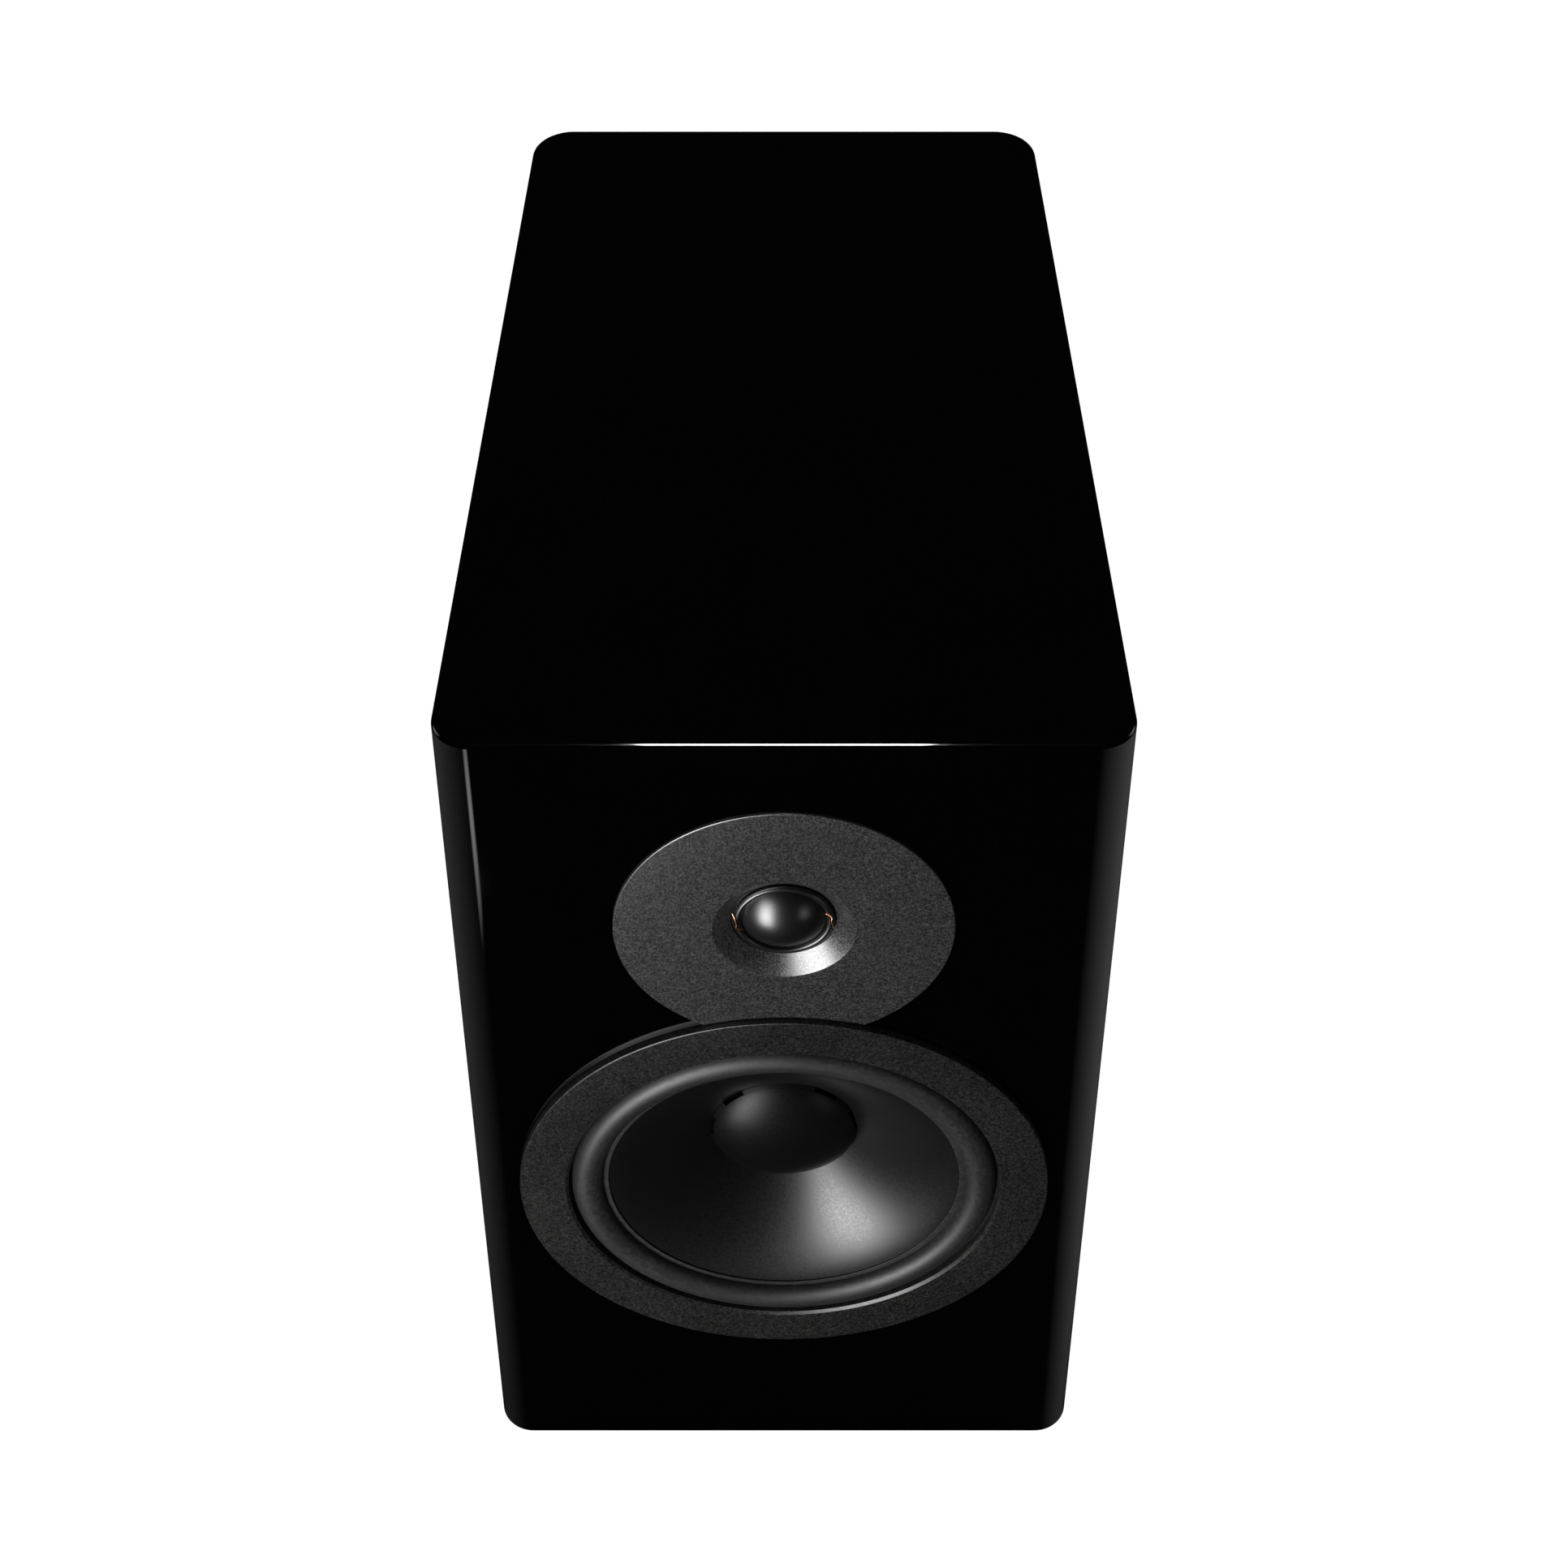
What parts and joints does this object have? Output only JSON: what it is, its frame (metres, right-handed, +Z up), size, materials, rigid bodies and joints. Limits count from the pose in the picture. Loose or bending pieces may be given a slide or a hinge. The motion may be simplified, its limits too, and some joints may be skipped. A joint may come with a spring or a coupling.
{
  "type": "bookshelf speaker",
  "caption": "Compact two-way loudspeaker: gloss black cabinet that narrows towards its back, with a dome tweeter above a round woofer, a rear port and screw terminals.",
  "frame": {"origin": "centre of the cabinet's base, on the surface that it stands on", "axes": "+Z up, -Y out of the baffle towards the listener, +X to the right of a person who faces the baffle"},
  "size_m": [0.1788, 0.2843, 0.315],
  "materials": {
    "lacquered_board": "gloss black lacquer over fibreboard",
    "raw_board": "bare fibreboard",
    "foam": "open-cell foam",
    "textured_paint": "fine-textured black paint",
    "black_casting": "black powder-coated casting",
    "surround_rubber": "satin",
    "cone_polymer": "fine leather grain, satin",
    "cap_polymer": "leather grain, satin",
    "coil": "wound coil on its former",
    "spider_cloth": "resin-treated woven cloth",
    "steel": "zinc plated",
    "ferrite": "sintered, matte",
    "screw_steel": "black oxide",
    "silk": "coated silk, satin",
    "copper": "bare copper",
    "moulding": "fine-textured moulding",
    "gilt": "gold plated",
    "red_cap": "translucent red, glossy",
    "black_cap": "glossy",
    "film": "wound film",
    "cement": "white cement",
    "insulation": "satin"
  },
  "bodies": {
    "cabinet": {"front_baffle": "lacquered_board", "back_panel": "lacquered_board", "left_side_panel": "lacquered_board", "right_side_panel": "lacquered_board", "top_panel": "lacquered_board", "bottom_panel": "lacquered_board", "cabinet_brace": "raw_board", "crossover_board": "raw_board", "damping_pad_left": "foam", "damping_pad_right": "foam", "woofer_trim_ring": "textured_paint", "tweeter_faceplate": "textured_paint", "woofer_basket": "black_casting", "woofer_surround": "surround_rubber", "woofer_spider": "spider_cloth", "woofer_top_plate": "steel", "woofer_back_plate": "steel", "tweeter_top_plate": "steel", "tweeter_back_plate": "steel", "woofer_magnet": "ferrite", "tweeter_magnet": "ferrite", "woofer_screw_1": "screw_steel", "woofer_screw_2": "screw_steel", "woofer_screw_3": "screw_steel", "woofer_screw_4": "screw_steel", "tweeter_screw_1": "screw_steel", "tweeter_screw_2": "screw_steel", "tweeter_screw_3": "screw_steel", "terminal_screw_1": "screw_steel", "terminal_screw_2": "screw_steel", "terminal_screw_3": "screw_steel", "terminal_screw_4": "screw_steel", "tweeter_surround": "silk", "tweeter_lead_right": "copper", "tweeter_lead_left": "copper", "inductor_woofer": "copper", "inductor_tweeter": "copper", "tweeter_rear_chamber": "moulding", "port_tube": "moulding", "terminal_plate": "moulding", "post_bush_red": "moulding", "post_bush_black": "moulding", "post_stud_red": "gilt", "post_stud_black": "gilt", "capacitor_woofer": "film", "capacitor_tweeter": "film", "crossover_resistor": "cement", "input_lead": "insulation", "woofer_lead": "insulation", "tweeter_wiring": "insulation"},
    "woofer_moving": {"woofer_cone": "cone_polymer", "woofer_dust_cap": "cap_polymer", "woofer_voice_coil": "coil"},
    "tweeter_moving": {"tweeter_dome": "silk", "tweeter_voice_coil": "coil"},
    "clamp_red": {"post_washer_red": "gilt"},
    "knob_red": {"post_knob_red": "red_cap"},
    "clamp_black": {"post_washer_black": "gilt"},
    "knob_black": {"post_knob_black": "black_cap"}
  },
  "joints": [
    {"name": "woofer_travel", "type": "slide", "parent": "cabinet", "child": "woofer_moving", "axis": [0, -1, 0], "range_m": [-0.005, 0.005], "stiffness_N_per_m": 1000, "deforming": ["woofer_surround", "woofer_spider"]},
    {"name": "tweeter_travel", "type": "slide", "parent": "cabinet", "child": "tweeter_moving", "axis": [0, -1, 0], "range_m": [-0.0004, 0.0004], "stiffness_N_per_m": 200, "deforming": ["tweeter_surround", "tweeter_lead_right", "tweeter_lead_left"]},
    {"name": "clamp_slide_red", "type": "slide", "parent": "cabinet", "child": "clamp_red", "axis": [0, 1, 0], "range_m": [0, 0.004]},
    {"name": "knob_turn_red", "type": "hinge", "parent": "clamp_red", "child": "knob_red", "pos_m": [-0.019, 0.1295, 0.092], "axis": [0, 1, 0], "range_deg": [0, 1440]},
    {"name": "clamp_slide_black", "type": "slide", "parent": "cabinet", "child": "clamp_black", "axis": [0, 1, 0], "range_m": [0, 0.004]},
    {"name": "knob_turn_black", "type": "hinge", "parent": "clamp_black", "child": "knob_black", "pos_m": [0.019, 0.1295, 0.092], "axis": [0, 1, 0], "range_deg": [0, 1440]}
  ],
  "couplings": [
    {"joint": "knob_turn_red", "follows": "clamp_slide_red", "rad_per_m": 6283.2},
    {"joint": "knob_turn_black", "follows": "clamp_slide_black", "rad_per_m": 6283.2}
  ]
}
